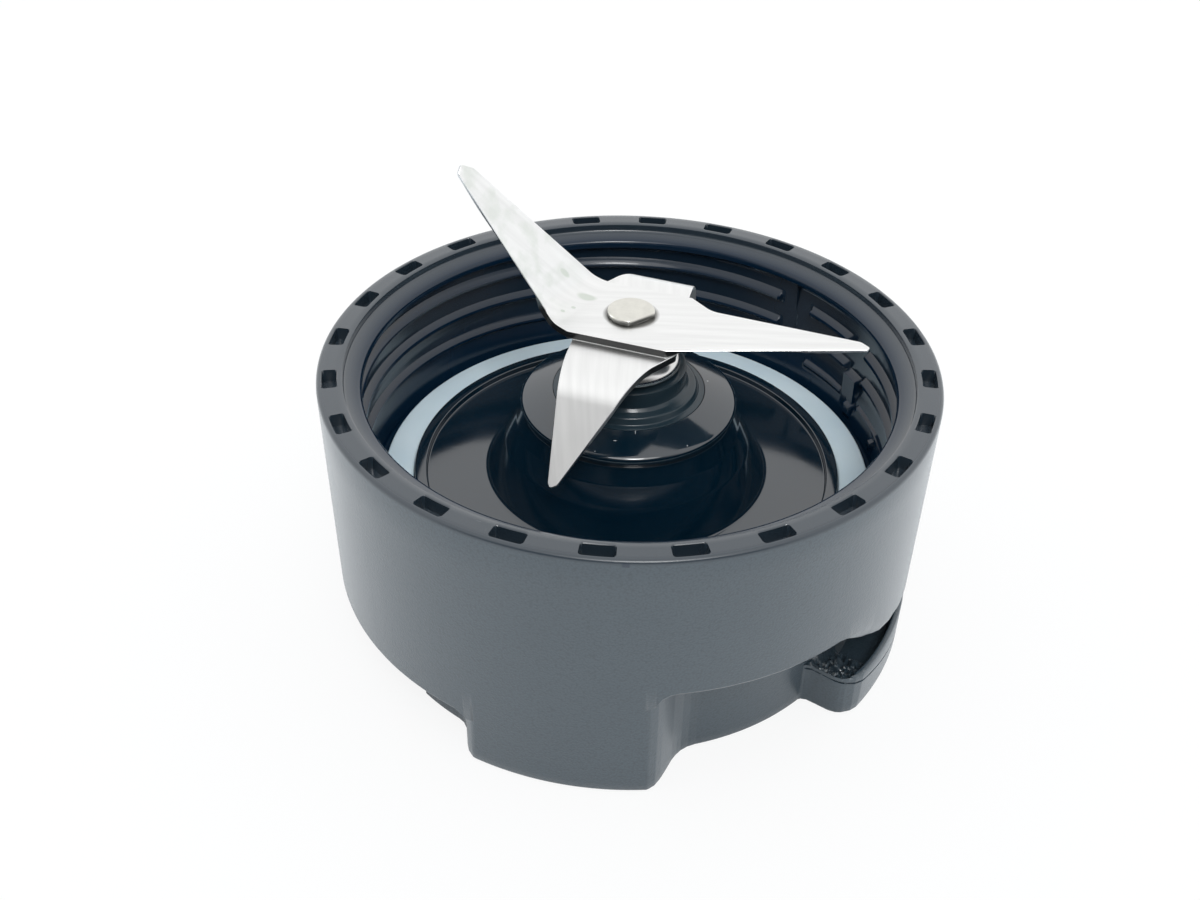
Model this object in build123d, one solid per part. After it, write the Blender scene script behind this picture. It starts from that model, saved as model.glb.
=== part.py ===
from build123d import *
import math
import os

# Collar: drum, rim and thread wall
rim_r = 47.0
rim_h = 44.3
drum_draft = 0.0146
foot_draft = 0.017
rim_chamfer = 0.5
rim_wall = 3.95
rim_step = 1.4
lip_drop = 2.1
lip_edge = 1.2
thread_wall = 5.5
thread_depth = 1.1
neck_step = 3.0
neck_h = 4.2
seat_h = 22.3
floor_t = 2.7
floor_hole_gap = 0.2

# Collar: pockets in the rim
pocket_count = 24
pocket_length = 4.8
pocket_width = 2.2
pocket_depth = 2.0
pocket_corner = 0.5
pocket_turn = 10.9

# Collar: ring wall and skirt, then foot, notch, bayonet lug and stop as angles from the front
ring_depth = 8.1
ring_t = 2.4
skirt_h = 9.05
skirt_t = 2.6
skirt_lap = 3.0
foot_start = -26.2
foot_end = 4.5
foot_lean = 10.0
foot_corner = 2.8
foot_fillet = 3.5
notch_end = 47.0
lug_h = 7.5
lug_corner = 3.0
stop_start = 80.0
lug_end = 86.0
rib_start = -46.3
rib_stand = 2.5
ramp_centre = 63.0
ramp_mid = 14.2
ramp_low = 11.0
floor_rib_count = 6
floor_rib_t = 1.8
floor_rib_drop = 4.0

# Gasket
gasket_t = 2.0
gasket_w = 4.65
gasket_gap = 0.1

# Bearings and the tube that holds them
shaft_r = 4.0
bearing_r = 11.0
bearing_w = 7.0
bearing_apart = 7.8
race_t = 2.0
ball_r = 1.92
ball_gap = 0.08
ball_count = 7
bore_gap = 0.03
tube_wall = 2.4
tube_hang = 10.3
tube_lip = 1.2
shoulder_t = 0.8
shoulder_w = 1.5
spacer_t = 1.4

# Hub plate: plate, boss and screw posts
plate_gap = 0.15
plate_t = 2.0
plate_lip_w = 2.0
plate_lip_h = 0.9
plate_edge = 0.5
boss_wall = 2.0
boss_foot = 0.9
foot_out = 2.2
flare_out = 3.5
flare_drop = 5.4
flare_sag = 0.55
waist_in = 0.6
crown_w = 4.95
crown_edge = 1.6
crown_lip = 0.2
crown_slope = 1.7
screw_count = 3
screw_r = 1.3
screw_gap = 0.05
screw_clearance = 0.2
screw_head_r = 2.9
screw_head_h = 2.4
post_gap = 0.77
post_r = 2.4
post_h = 6.7
post_cap = 1.2

# Clips and washer under the lower bearing
clip_mouth_angle = 44.0
circlip_t = 1.0
circlip_w = 2.3
groove_depth = 0.62
clip_t = 0.8
clip_w = 1.6
clip_groove = 0.6
washer_t = 0.8
washer_w = 2.4
slide_gap = 0.02

# Seal on the boss and the sleeve it runs on
sleeve_t = 1.2
seal_lip_gap = 0.08
seal_pocket_step = 0.62
seal_pocket_depth = 2.3
seal_h = 4.2
seal_neck_t = 3.42
seal_shoulder_w = 1.6
seal_shoulder_h = 1.1
seal_edge = 0.4

# Dome cap, blades and shaft head
cap_gap = 0.5
cap_h = 5.7
cap_skirt = 0.6
cap_t = 1.0
cap_out = 2.5
cap_crown_w = 0.7
cap_bulge = 0.5
blade_t = 1.2
bevel_w = 1.6
bevel_edge = 0.35
bevel_share = 0.6
bend_steps = 6
tip_cut = 0.15
spigot_step = 1.0
spigot_cut = 0.6
head_over = 0.55
head_h = 1.0
head_chamfer = 0.3
head_cut = 0.85
head_turn = 37.5

# Upper blade seen from above: one wing flat, the other bent up and given as turned half round
upper_front_left = (-9.2, -5.3)
upper_lead_root = (5.0, -9.8)
upper_trail_root = (12.0, 1.6)
upper_flat_tip = ((34.1, -7.85), (34.5, -7.1), (33.4, -5.7))
upper_bent_lead = (2.7, -9.1)
upper_bent_trail = (13.4, 1.0)
upper_bent_tip = ((34.75, -9.15), (36.9, -8.2), (36.7, -6.7))
upper_fold = 144.6
upper_fold_start = 6.5
upper_fold_r = 3.65
upper_fold_angle = 66.5

# Lower blade along and across its fold: both wings bent down
lower_wing = (
    (6.4, -6.5), (30.6, -3.0), (31.35, -2.5), (30.7, -1.5), (19.0, 3.7), (10.8, 6.9), (6.4, 9.1)
)
lower_fold = -108.4
lower_fold_start = 10.9
lower_fold_r = 8.0
lower_fold_angle = -50.0

# Shaft end and coupling
end_step = 1.0
shaft_recess = 1.5
coupling_gap = 1.1
coupling_h = 9.4
coupling_root_r = 9.2
coupling_teeth = 10
coupling_tooth = 2.4
coupling_hub_w = 3.5
insert_flats = 9.0
insert_h = 6.0
insert_roof = 1.2

# Radii that follow
rim_inner_r = rim_r - rim_wall
thread_root_r = rim_r - thread_wall
lip_r = thread_root_r - thread_depth
neck_r = thread_root_r - neck_step
ring_r = rim_r - ring_depth
rib_r = ring_r + rib_stand
gasket_out_r = neck_r - gasket_gap
gasket_in_r = gasket_out_r - gasket_w
plate_r = gasket_in_r - plate_gap
plate_lip_r = plate_r - plate_lip_w
bore_r = bearing_r + bore_gap
tube_r = bore_r + tube_wall
ball_ring_r = (shaft_r + bearing_r) / 2
seal_pocket_r = bore_r + seal_pocket_step
crown_r = seal_pocket_r + crown_w
waist_r = crown_r - waist_in
flare_r = waist_r + flare_out
boss_foot_r = flare_r + foot_out
screw_ring_r = tube_r + post_gap + post_r
sleeve_r = shaft_r + sleeve_t
seal_in_r = sleeve_r + seal_lip_gap
seal_neck_r = seal_in_r + seal_neck_t
seal_shoulder_r = seal_neck_r + seal_shoulder_w
cap_r = sleeve_r + cap_out
cap_top_r = sleeve_r + cap_crown_w
spigot_r = shaft_r - spigot_step
head_r = spigot_r + head_over
end_r = shaft_r - end_step
coupling_tip_r = coupling_root_r + coupling_tooth

# Heights that follow, from the seat of the hub plate down to the coupling and up to the head
floor_low_h = seat_h - floor_t
neck_top_h = seat_h + neck_h
plate_top_h = seat_h + plate_t
lip_top_h = plate_top_h + plate_lip_h
post_top_h = seat_h + post_h
screw_end_h = post_top_h - post_cap
tube_end_h = seat_h - tube_hang
lower_bearing_h = tube_end_h + tube_lip + circlip_t
spacer_h = lower_bearing_h + bearing_w
upper_bearing_h = spacer_h + bearing_apart
shoulder_h = upper_bearing_h + bearing_w
shoulder_top_h = shoulder_h + shoulder_t
crown_top_h = shoulder_top_h + seal_pocket_depth
crown_edge_h = crown_top_h - crown_slope
crown_low_h = crown_edge_h - crown_edge
waist_h = crown_low_h - crown_lip
flare_h = waist_h - flare_drop
seal_top_h = crown_top_h + seal_h
cap_low_h = seal_top_h + cap_gap
cap_belly_h = cap_low_h + cap_skirt
cap_top_h = cap_low_h + cap_h
cap_seat_h = cap_top_h - cap_t
upper_blade_h = cap_top_h + blade_t
head_low_h = upper_blade_h + blade_t
head_top_h = head_low_h + head_h
clip_h = lower_bearing_h - clip_t
washer_h = clip_h - washer_t
coupling_top_h = tube_end_h - coupling_gap
coupling_low_h = coupling_top_h - coupling_h
shaft_end_h = coupling_low_h + shaft_recess


def drum_r(h):
    return rim_r - drum_draft * (rim_h - h)


def lathe(*points):
    return revolve(Plane.XZ * Polygon(*points, align=None), Axis.Z)


def tube(inner, outer, low, high):
    return lathe((inner, low), (outer, low), (outer, high), (inner, high))


def sector(inner, outer, start, end, lean=0):
    near = CenterArc((0, 0), inner, start - lean - 90, end - start + 2 * lean)
    far = CenterArc((0, 0), outer, start - 90, end - start)
    return make_face([near, far, Line(near @ 0, far @ 0), Line(near @ 1, far @ 1)])


def block(plan, low, high):
    return Pos(0, 0, low) * extrude(plan, high - low)


def both_sides(shape):
    return shape + Rot(0, 0, 180) * shape


def radius_at(point):
    return math.hypot(point.X, point.Y)


def upright_edges(solid):
    outer = [e for e in solid.edges() if radius_at(e @ 0.5) > ring_r + ring_t]
    return [e for e in outer if abs((e % 0.5).Z) > radius_at(e % 0.5)]


# Collar: the drum above the notches, turned about the jar axis
floor_hole_r = tube_r + floor_hole_gap
lip_h = rim_h - lip_drop
drum = lathe(
    (floor_hole_r, floor_low_h),
    (drum_r(floor_low_h), floor_low_h),
    (drum_r(rim_h - rim_chamfer), rim_h - rim_chamfer),
    (rim_r - rim_chamfer, rim_h),
    (rim_inner_r, rim_h),
    (rim_inner_r, rim_h - rim_step),
    (lip_r + lip_edge / 2, lip_h + lip_edge / 2),
    (lip_r, lip_h),
    (lip_r, lip_h - lip_edge),
    (thread_root_r, lip_h - lip_edge - thread_depth),
    (thread_root_r, neck_top_h + neck_step),
    (neck_r, neck_top_h),
    (neck_r, seat_h),
    (floor_hole_r, seat_h),
)

# Collar: ring wall with the two feet, whose flanks lean and run out in a fillet
ring_in_r = ring_r - ring_t
beyond_r = rim_r + ring_t
low_r = drum_r(floor_low_h)
foot_cone = lathe((0, 0), (low_r - foot_draft * floor_low_h, 0), (low_r, floor_low_h), (0, floor_low_h))
foot = sector(ring_in_r, beyond_r, foot_start, foot_end, foot_lean)
foot_plan = Circle(ring_r) - Circle(ring_in_r) + both_sides(foot)
foot_roots = [v for v in foot_plan.vertices() if abs(radius_at(v) - ring_r) < ring_t / 2]
feet = block(fillet(foot_roots, foot_fillet), 0, floor_low_h) & foot_cone
feet = fillet(upright_edges(feet), foot_corner)

# Collar: bayonet lugs, their end stops and the stop ribs
lug = block(sector(ring_in_r, beyond_r, notch_end, lug_end), 0, lug_h) & foot_cone
lug = fillet(upright_edges(lug), lug_corner)
skirt_in_r = drum_r(skirt_h) - skirt_t
stop = block(sector(ring_in_r, skirt_in_r + skirt_t / 2, stop_start, lug_end), 0, floor_low_h)
rib = block(sector(ring_in_r, rib_r, rib_start, foot_start), 0, floor_low_h)

# Collar: skirt between the notch and the next foot, with the ramp over the lug
skirt_plan = sector(skirt_in_r, beyond_r, notch_end, 180 + foot_start + skirt_lap)
skirt = block(skirt_plan, skirt_h, floor_low_h) & foot_cone
ramp_end = rim_r * math.sin(math.radians(stop_start - ramp_centre))
ramp_start = beyond_r * math.sin(math.radians(ramp_centre - notch_end))
ramp = Polygon(
    (-ramp_start, 0),
    (ramp_end, 0),
    (ramp_end, ramp_low),
    (-ramp_end / 2, ramp_mid),
    (-ramp_start, floor_low_h),
    align=None,
)
skirt = skirt - Rot(0, 0, ramp_centre) * extrude(Plane.XZ * ramp, beyond_r)

threaded_collar = drum + feet + both_sides(lug + stop + rib + skirt)

# Collar: pockets round the rim, ribs under the floor and the screw holes
pocket_ring_r = (rim_r + rim_inner_r) / 2
pocket_spot = Pos(0, -pocket_ring_r, rim_h - pocket_depth)
pocket = pocket_spot * extrude(RectangleRounded(pocket_length, pocket_width, pocket_corner), pocket_depth)
pockets = [Rot(0, 0, pocket_turn + 360 / pocket_count * n) * pocket for n in range(pocket_count)]
floor_rib_spot = Pos((floor_hole_r + ring_r) / 2, 0, floor_low_h - floor_rib_drop / 2)
floor_rib = floor_rib_spot * Box(ring_in_r - floor_hole_r, floor_rib_t, floor_rib_drop)
floor_ribs = [Rot(0, 0, 360 / floor_rib_count * (n + 0.5)) * floor_rib for n in range(floor_rib_count)]
screw_spots = [Rot(0, 0, 360 / screw_count * n) * Pos(screw_ring_r, 0, 0) for n in range(screw_count)]
screw_ways = [s * tube(0, screw_r + screw_clearance, floor_low_h, seat_h) for s in screw_spots]
threaded_collar = threaded_collar + floor_ribs - pockets - screw_ways

# Gasket
jar_gasket = tube(gasket_in_r, gasket_out_r, seat_h, seat_h + gasket_t)

# Hub plate: the boss flares down from under its crown, and the tube hangs inside it
groove_low_h = lower_bearing_h - circlip_t
shoulder_r = bearing_r - shoulder_w
flare = ThreePointArc(
    (flare_r, flare_h),
    ((flare_r + waist_r) / 2 - flare_sag, (flare_h + waist_h) / 2 - flare_sag / 2),
    (waist_r, waist_h),
)
plate_line = Polyline(
    (waist_r, waist_h),
    (crown_r, crown_low_h),
    (crown_r, crown_edge_h),
    (seal_pocket_r, crown_top_h),
    (seal_pocket_r, shoulder_top_h),
    (shoulder_r, shoulder_top_h),
    (shoulder_r, shoulder_h),
    (bore_r, shoulder_h),
    (bore_r, lower_bearing_h),
    (bore_r + groove_depth, lower_bearing_h),
    (bore_r + groove_depth, groove_low_h),
    (bore_r, groove_low_h),
    (bore_r, tube_end_h),
    (tube_r, tube_end_h),
    (tube_r, waist_h - boss_wall),
    (waist_r - boss_wall / 2, waist_h - boss_wall),
    (flare_r - boss_wall, flare_h - boss_wall / 2),
    (boss_foot_r - boss_wall, seat_h),
    (plate_r, seat_h),
    (plate_r, lip_top_h - plate_edge),
    (plate_r - plate_edge, lip_top_h),
    (plate_lip_r, lip_top_h),
    (plate_lip_r - plate_edge, plate_top_h),
    (boss_foot_r + boss_foot, plate_top_h),
    (boss_foot_r, plate_top_h + boss_foot),
    (flare_r, flare_h),
)
hub_plate = revolve(Plane.XZ * make_face([flare, plate_line]), Axis.Z)
posts = [s * tube(0, post_r, seat_h, post_top_h) for s in screw_spots]
screw_bores = [s * tube(0, screw_r + screw_gap, seat_h, screw_end_h) for s in screw_spots]
hub_plate = hub_plate + posts - screw_bores

# Screws up through the collar floor into the hub plate
screw = lathe(
    (0, floor_low_h - screw_head_h),
    (screw_head_r, floor_low_h - screw_head_h),
    (screw_head_r, floor_low_h),
    (screw_r, floor_low_h),
    (screw_r, screw_end_h - screw_r),
    (0, screw_end_h),
)
hub_screws = Compound([s * screw for s in screw_spots])


# Ball bearings, one above the other
def bearing(low):
    middle = Pos(0, 0, low + bearing_w / 2)
    track = middle * Torus(ball_ring_r, ball_r + ball_gap)
    outer = tube(bearing_r - race_t, bearing_r, low, low + bearing_w) - track
    inner = tube(shaft_r, shaft_r + race_t, low, low + bearing_w) - track
    ball = middle * Pos(ball_ring_r, 0, 0) * Sphere(ball_r)
    balls = Compound([Rot(0, 0, 360 / ball_count * n) * ball for n in range(ball_count)])
    return outer, inner, balls


upper_outer, upper_inner, upper_balls = bearing(upper_bearing_h)
lower_outer, lower_inner, lower_balls = bearing(lower_bearing_h)
bearing_spacer = tube(bearing_r - spacer_t, bearing_r, spacer_h, upper_bearing_h)
shaft_sleeve = tube(shaft_r + slide_gap, sleeve_r, spacer_h, upper_bearing_h)

# Clips and washer under the lower bearing
circlip_r = bore_r + groove_depth - slide_gap
clip_mouth = block(sector(slide_gap, rim_r, -clip_mouth_angle / 2, clip_mouth_angle / 2), 0, rim_h)
bearing_circlip = tube(circlip_r - circlip_w, circlip_r, groove_low_h, lower_bearing_h) - clip_mouth
shaft_clip = tube(shaft_r - clip_groove, shaft_r + clip_w, clip_h, lower_bearing_h)
shaft_clip = shaft_clip - Rot(0, 0, 180) * clip_mouth
coupling_washer = tube(shaft_r + slide_gap, shaft_r + washer_w, washer_h, clip_h)

# Seal on the boss, in two steps, and the sleeve it runs on
seal_sleeve = tube(shaft_r + slide_gap, sleeve_r, shoulder_h, cap_seat_h)
seal_step_h = crown_top_h + seal_shoulder_h
shaft_seal = lathe(
    (seal_in_r, shoulder_top_h),
    (seal_pocket_r, shoulder_top_h),
    (seal_pocket_r, crown_top_h),
    (seal_shoulder_r + seal_edge, crown_top_h + seal_edge / 2),
    (seal_shoulder_r, seal_step_h - seal_edge),
    (seal_shoulder_r - seal_edge, seal_step_h),
    (seal_neck_r + seal_edge, seal_step_h + seal_edge),
    (seal_neck_r, seal_step_h + 2 * seal_edge),
    (seal_neck_r, seal_top_h - seal_edge),
    (seal_neck_r - seal_edge, seal_top_h),
    (seal_in_r, seal_top_h),
)

# Shaft with its double-flat spigot and peened head, which has one flat side
spigot_plan = Circle(spigot_r) & Rectangle(2 * spigot_r, 2 * (spigot_r - spigot_cut))
spigot = block(spigot_plan, cap_seat_h, head_low_h)
head = lathe(
    (0, head_low_h),
    (head_r, head_low_h),
    (head_r, head_top_h - head_chamfer),
    (head_r - head_chamfer, head_top_h),
    (0, head_top_h),
)
head_trim = Pos(0, head_cut - 2 * head_r, head_top_h) * Box(2 * head_r, 2 * head_r, 2 * head_h)
shank = lathe(
    (0, shaft_end_h),
    (end_r, shaft_end_h),
    (end_r, washer_h),
    (shaft_r, washer_h),
    (shaft_r, clip_h),
    (shaft_r - clip_groove, clip_h),
    (shaft_r - clip_groove, lower_bearing_h),
    (shaft_r, lower_bearing_h),
    (shaft_r, cap_seat_h),
    (0, cap_seat_h),
)
drive_shaft = shank + spigot + (head - Rot(0, 0, head_turn) * head_trim)

# Dome cap, a thin bell of steel over the sleeve
cap_line = Polyline(
    (cap_top_r, cap_top_h),
    (0, cap_top_h),
    (0, cap_seat_h),
    (cap_top_r - cap_t / 2, cap_seat_h),
    (cap_r - cap_t, cap_belly_h),
    (cap_r - cap_t, cap_low_h),
    (cap_r, cap_low_h),
    (cap_r, cap_belly_h),
)
cap_dome = ThreePointArc(
    (cap_r, cap_belly_h),
    ((cap_r + cap_top_r) / 2 + cap_bulge, (cap_belly_h + cap_top_h) / 2 + cap_bulge / 2),
    (cap_top_r, cap_top_h),
)
dome_cap = revolve(Plane.XZ * make_face([cap_line, cap_dome]), Axis.Z) - spigot


# Blades: each wing is a run of cross-sections along the sheet, bent over its fold
def fold_point(along, across, lift, fold, start, bend_r, angle):
    turn = math.radians(abs(angle))
    way = 1 if angle >= 0 else -1
    middle_r = bend_r + blade_t / 2
    bent = min(max((along - start) / middle_r, 0), turn)
    rest = along - start - bent * middle_r
    arc_r = middle_r - way * lift
    reach = start + arc_r * math.sin(bent) + rest * math.cos(bent)
    rise = way * (middle_r - arc_r * math.cos(bent) + rest * math.sin(bent))
    aim = math.radians(fold)
    return (
        reach * math.cos(aim) - across * math.sin(aim),
        reach * math.sin(aim) + across * math.cos(aim),
        rise,
    )


def width_at(outline, along):
    hits = []
    for (s0, w0), (s1, w1) in zip(outline, outline[1:] + outline[:1]):
        if min(s0, s1) <= along <= max(s0, s1) and s0 != s1:
            hits.append(w0 + (w1 - w0) * (along - s0) / (s1 - s0))
    return min(hits), max(hits)


def section(outline, along, bend):
    lead, trail = width_at(outline, along)
    bevel = lead + min(bevel_w, (trail - lead) * bevel_share)
    half = blade_t / 2
    ring = [(bevel, -half), (lead, half - bevel_edge), (lead, half), (trail, half), (trail, -half)]
    points = [Vector(*fold_point(along, across, lift, *bend)) for across, lift in ring]
    return Face(Wire.make_polygon(points, close=True))


def straight_run(outline, begin, end, bend):
    corners = {along for along, across in outline if begin < along < end}
    return loft([section(outline, s, bend) for s in sorted(corners | {begin, end})], ruled=True)


def bent_run(outline, begin, end, bend):
    curve = [begin + (end - begin) * n / bend_steps for n in range(bend_steps + 1)]
    return loft([section(outline, s, bend) for s in curve])


def fold_end(bend):
    fold, start, bend_r, angle = bend
    return start + (bend_r + blade_t / 2) * math.radians(abs(angle))


def on_fold(point, fold):
    x, y = point
    aim = math.radians(fold)
    return (x * math.cos(aim) + y * math.sin(aim), y * math.cos(aim) - x * math.sin(aim))


def opposite(points):
    return tuple((-x, -y) for x, y in points)


# Upper blade: hub and flat wing in one plane, the other wing over its fold
upper_outline = (
    upper_front_left,
    upper_lead_root,
    *upper_flat_tip,
    upper_trail_root,
    *opposite([upper_front_left, upper_bent_lead]),
    *opposite([*upper_bent_tip, upper_bent_trail]),
)
flat_bend = (0, rim_r, upper_fold_r, 0)
flat_root = upper_lead_root[0]
flat_wing = straight_run(upper_outline, flat_root, upper_flat_tip[1][0] - tip_cut, flat_bend)
upper_bend = (upper_fold, upper_fold_start, upper_fold_r, upper_fold_angle)
folded = tuple(on_fold(p, upper_fold) for p in upper_outline)
bent_end = fold_end(upper_bend)
bent_wing = bent_run(folded, upper_fold_start, bent_end, upper_bend)
bent_wing += straight_run(folded, bent_end, max(s for s, w in folded) - tip_cut, upper_bend)
half_space = Pos(rim_r, 0, 0) * Box(2 * rim_r, 2 * rim_r, 2 * blade_t)
sheet = Pos(0, 0, -blade_t / 2) * extrude(Polygon(*upper_outline, align=None), blade_t)
sheet = sheet - Rot(0, 0, upper_fold) * Pos(upper_fold_start, 0, 0) * half_space
sheet = sheet - Pos(flat_root, 0, 0) * half_space
upper_blade = Pos(0, 0, upper_blade_h + blade_t / 2) * (sheet + flat_wing + bent_wing) - spigot

# Lower blade: two like wings, half a turn apart
lower_bend = (lower_fold, lower_fold_start, lower_fold_r, lower_fold_angle)
lower_root = lower_wing[0][0]
lower_end = fold_end(lower_bend)
front_wing = straight_run(lower_wing, lower_root, lower_fold_start, lower_bend)
front_wing += bent_run(lower_wing, lower_fold_start, lower_end, lower_bend)
front_wing += straight_run(lower_wing, lower_end, max(s for s, w in lower_wing) - tip_cut, lower_bend)
lower_hub = (lower_wing[0], lower_wing[-1])
lower_plan = Rot(0, 0, lower_fold) * Polygon(*lower_hub, *opposite(lower_hub), align=None)
lower_sheet = Pos(0, 0, -blade_t / 2) * extrude(lower_plan, blade_t)
lower_blade = Pos(0, 0, cap_top_h + blade_t / 2) * (lower_sheet + both_sides(front_wing)) - spigot

# Drive coupling, a toothed wheel on a hexagon insert
tooth_w = math.pi * coupling_root_r / coupling_teeth
tooth = Pos(coupling_root_r, 0) * Rectangle(2 * coupling_tooth, tooth_w)
teeth = [Rot(0, 0, 360 / coupling_teeth * n) * tooth for n in range(coupling_teeth)]
wheel_plan = (Circle(coupling_root_r) + teeth) & Circle(coupling_tip_r)
insert_plan = RegularPolygon(insert_flats / 2, 6, major_radius=False)
insert_top_h = coupling_top_h - insert_roof
wheel = block(wheel_plan, coupling_low_h, coupling_top_h)
wheel = wheel + tube(0, shaft_r + coupling_hub_w, coupling_top_h, washer_h)
wheel = wheel - block(insert_plan, coupling_low_h, insert_top_h)
drive_coupling = wheel - tube(0, end_r, coupling_low_h, washer_h)
coupling_insert = block(insert_plan, insert_top_h - insert_h, insert_top_h)
coupling_insert = coupling_insert - tube(0, end_r, coupling_low_h, insert_top_h)

nodes = {
    "threaded_collar": threaded_collar,
    "hub_plate": hub_plate,
    "jar_gasket": jar_gasket,
    "hub_screws": hub_screws,
    "shaft_seal": shaft_seal,
    "upper_bearing_outer_race": upper_outer,
    "upper_bearing_balls": upper_balls,
    "bearing_spacer": bearing_spacer,
    "lower_bearing_outer_race": lower_outer,
    "lower_bearing_balls": lower_balls,
    "bearing_circlip": bearing_circlip,
    "drive_shaft": drive_shaft,
    "upper_blade": upper_blade,
    "lower_blade": lower_blade,
    "dome_cap": dome_cap,
    "seal_sleeve": seal_sleeve,
    "upper_bearing_inner_race": upper_inner,
    "shaft_sleeve": shaft_sleeve,
    "lower_bearing_inner_race": lower_inner,
    "shaft_clip": shaft_clip,
    "coupling_washer": coupling_washer,
    "coupling_insert": coupling_insert,
    "drive_coupling": drive_coupling,
}

os.makedirs("parts", exist_ok=True)
for name, shape in nodes.items():
    export_step(shape, f"parts/{name}.step")
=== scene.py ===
import math

import bmesh
import bpy
from mathutils import Euler, Matrix, Vector, noise


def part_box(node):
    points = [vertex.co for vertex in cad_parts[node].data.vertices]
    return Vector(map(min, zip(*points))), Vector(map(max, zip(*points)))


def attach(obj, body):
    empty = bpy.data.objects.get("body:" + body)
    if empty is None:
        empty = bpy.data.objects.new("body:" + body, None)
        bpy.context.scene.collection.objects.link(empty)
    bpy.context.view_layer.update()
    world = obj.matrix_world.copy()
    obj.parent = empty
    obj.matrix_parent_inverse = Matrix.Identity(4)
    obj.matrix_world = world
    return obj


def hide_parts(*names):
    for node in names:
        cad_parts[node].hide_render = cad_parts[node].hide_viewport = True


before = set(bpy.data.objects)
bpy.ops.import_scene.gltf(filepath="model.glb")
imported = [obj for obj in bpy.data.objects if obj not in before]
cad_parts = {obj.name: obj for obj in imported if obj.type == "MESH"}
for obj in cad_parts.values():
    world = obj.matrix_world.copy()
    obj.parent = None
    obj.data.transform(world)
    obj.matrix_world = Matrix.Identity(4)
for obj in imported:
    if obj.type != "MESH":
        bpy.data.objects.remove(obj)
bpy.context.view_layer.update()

# The collar is one injection moulding in black plastic, with a fine spark-eroded grain outside
# and a glossier face inside. The jar screws into its thread, and its feet and bayonet lugs turn
# into the motor base. The right-hand lug is cracked, and its top is torn.
MM = 0.001
RIM_R, RIM_H, DRAFT = 46.95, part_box("threaded_collar")[1].z / MM, 0.0146
RING_R, RING_IN_R = 38.9, 36.5
FLOOR_TOP, FLOOR_LOW, FLOOR_HOLE_R = 22.3, 19.6, 13.63
SKIRT_H, SKIRT_IN_R, LUG_H = 9.05, 43.9, 7.5
NECK_R, ROOT_R, LIP_R = 38.5, 41.5, 40.4
FAR = 60.0

# Azimuth from the front against radius: stop rib, foot with its curved flanks, notch, end stop
WALL_TRACE = [
    (-47.6, RING_R), (-46.9, 39.3), (-46.3, 40.7), (-45.6, 41.4),
    (-35.4, 41.4), (-33.8, 41.6), (-32.2, 42.3), (-30.8, 43.5), (-29.6, 44.7), (-28.5, 45.6),
    (-27.2, 46.2), (-25.4, 46.7), (-25.0, FAR),
    (3.6, FAR), (4.0, 46.7), (5.6, 46.35), (7.1, 45.6), (8.3, 44.5), (9.6, 43.1),
    (11.4, 41.2), (12.6, 40.3), (13.9, 39.6), (15.6, 39.1), (17.5, RING_R),
    (79.0, RING_R), (79.8, 41.0), (80.2, 44.0), (80.6, FAR),
    (85.4, FAR), (85.8, 45.6), (86.3, 43.0), (86.9, 40.0), (87.6, RING_R),
]
LUG_TRACE = [
    (45.6, RING_R), (46.2, 39.1), (47.0, 39.9), (47.5, 41.8), (47.9, 43.7), (48.4, 44.6),
    (49.1, 45.2), (50.7, 46.0), (52.2, 46.3), (53.6, 46.6), (54.0, FAR), (85.4, FAR),
]
# Azimuth against the height of the drum's lower edge
EDGE_TRACE = [
    (-33.0, SKIRT_H), (-30.4, 8.95), (-29.2, 8.5), (-28.2, 7.8),
    (6.4, 17.4), (7.4, 18.6), (8.8, 19.35), (10.4, FLOOR_LOW),
    (42.0, FLOOR_LOW), (44.0, 19.2), (45.2, 18.7), (49.8, 16.1), (54.4, 14.1), (57.3, 13.1),
    (61.2, 13.1), (63.1, 13.0), (66.5, 12.2), (79.0, 11.0), (85.0, SKIRT_H),
]
# Azimuth against the height of the bevel worn on that edge over the torn lug
SCOOP_TRACE = [(44.8, 0.0), (48.8, 2.2), (52.6, 3.0), (56.5, 2.0), (60.5, 0.0)]
# Height against the radius of the inside wall, from the neck up past the thread to the lip
INNER_TRACE = [
    (22.4, 39.6), (26.0, 40.6), (29.0, 41.3), (30.5, ROOT_R),
    (40.3, ROOT_R), (40.7, 41.0), (40.9, LIP_R),
]
THREAD_PITCH, THREAD_RISE, THREAD_HALF, THREAD_FLANK, THREAD_FRONT_H = 5.0, 1.15, 1.15, 1.0, RIM_H - 9.25
THREAD_START, THREAD_END, THREAD_RUNOUT = -640.0, 285.0, 20.0
THREAD_BREAKS, THREAD_SEAM, BREAK_SOFT = [(132.0, 141.0), (110.5, 117.5)], 136.5, 0.8
# The mesh rows follow the thread between these heights, and lie level in the neck below it
THREAD_LOW, THREAD_HIGH, THREAD_ROW, NECK_ROW, NECK_ROWS = 24.7, 40.8, 0.36, 0.38, 6
# First and last azimuth, foot and top, then how far the bar stands out, or the radius of a nub
THREAD_BAR, BAR_SOFT = (112.0, 117.4, 24.4, 31.2, 1.2), (0.7, 0.6)
NECK_NUBS, NUB_SOFT = [(111.6, 114.6, 24.2, 26.4, 39.6), (97.7, 99.8, 24.3, 25.9, 39.6)], (0.6, 0.5)
POCKET_COUNT, POCKET_TURN, POCKET_R = 24, 10.9, 45.0
POCKET_LENGTH, POCKET_WIDTH, POCKET_DEPTH, POCKET_CORNER = 4.8, 2.2, 2.0, 0.5
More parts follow.
